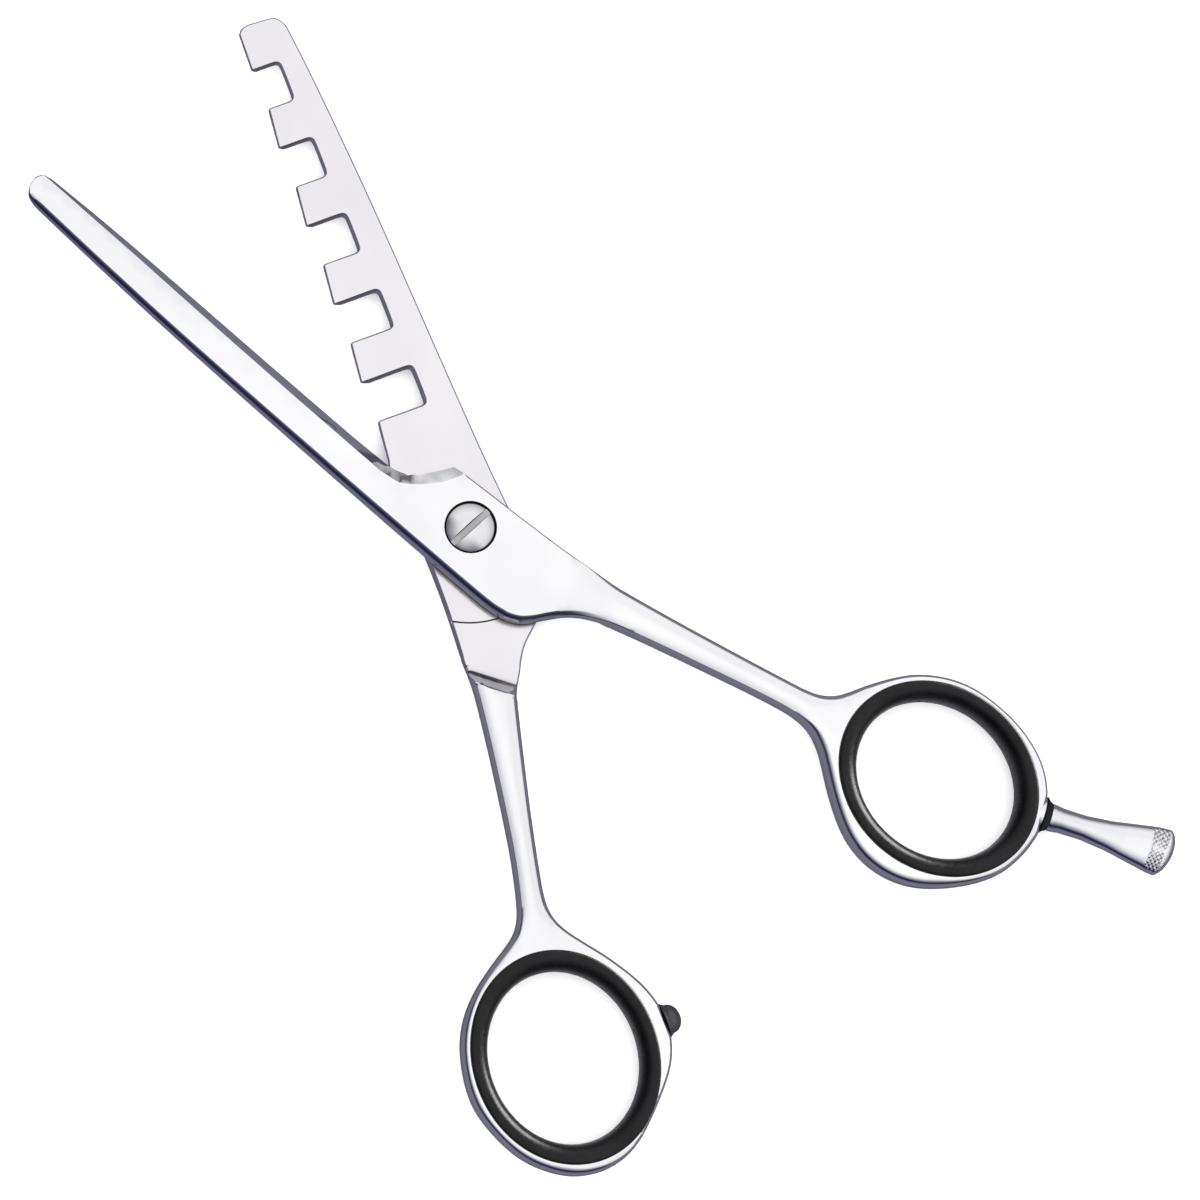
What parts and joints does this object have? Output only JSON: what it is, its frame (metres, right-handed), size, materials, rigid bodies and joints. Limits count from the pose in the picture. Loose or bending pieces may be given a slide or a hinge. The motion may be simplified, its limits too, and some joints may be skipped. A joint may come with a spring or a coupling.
{
  "type": "thinning shears",
  "caption": "Hairdressing thinning shears: a plain blade and a coarse notched blade on a slotted screw pivot, oval rings with rubber inserts, finger rest and stop bumper.",
  "frame": {"origin": "on the pivot axis, at the flat end of the pivot screw, which is flush with the outer face of the notched half; the plane where the two blades meet is 3 mm above it", "axes": "+Z along the pivot axis towards the screw head, +Y along the line halfway between the blades towards their tips, -Y towards the finger rings; rest pose is open by 29.7 degrees"},
  "size_m": [0.0937, 0.1568, 0.0067],
  "materials": {
    "polished_steel": "mirror-polished stainless steel, satin on the inner face of the notched blade",
    "screw_steel": "turned and polished",
    "spring_steel": "plain spring steel",
    "black_nylon": "matt black",
    "insert_rubber": "smooth black rubber with a soft sheen",
    "washer_rubber": "matt dark grey",
    "bumper_rubber": "moulded, slightly glossy dark grey"
  },
  "bodies": {
    "finger_body": {"finger_half": "polished_steel", "finger_ring_insert": "insert_rubber", "pivot_bush": "black_nylon", "spring_washer": "spring_steel"},
    "thumb_body": {"thumb_half": "polished_steel", "pivot_nut": "screw_steel", "thumb_ring_insert": "insert_rubber", "stop_bumper": "bumper_rubber"},
    "screw_body": {"pivot_screw": "screw_steel"},
    "rest_washer_body": {"finger_rest_washer": "washer_rubber"},
    "rest_body": {"finger_rest": "polished_steel"}
  },
  "joints": [
    {"name": "blades_pivot", "type": "hinge", "parent": "finger_body", "child": "thumb_body", "pos_m": [0, 0, 0], "axis": [0, 0, 1], "range_deg": [-90, 26.5]},
    {"name": "tension_screw_turn", "type": "hinge", "parent": "thumb_body", "child": "screw_body", "pos_m": [0, 0, 0], "axis": [0, 0, 1], "range_deg": [-90, 90]},
    {"name": "finger_rest_travel", "type": "slide", "parent": "finger_body", "child": "rest_washer_body", "axis": [0.601, -0.7993, 0], "range_m": [0, 0.0015]},
    {"name": "finger_rest_turn", "type": "hinge", "parent": "rest_washer_body", "child": "rest_body", "pos_m": [0.03927, -0.07318, 0.003], "axis": [0.601, -0.7993, 0], "range_deg": [0, 1081]}
  ],
  "couplings": [
    {"joint": "finger_rest_turn", "follows": "finger_rest_travel", "rad_per_m": 12566}
  ]
}
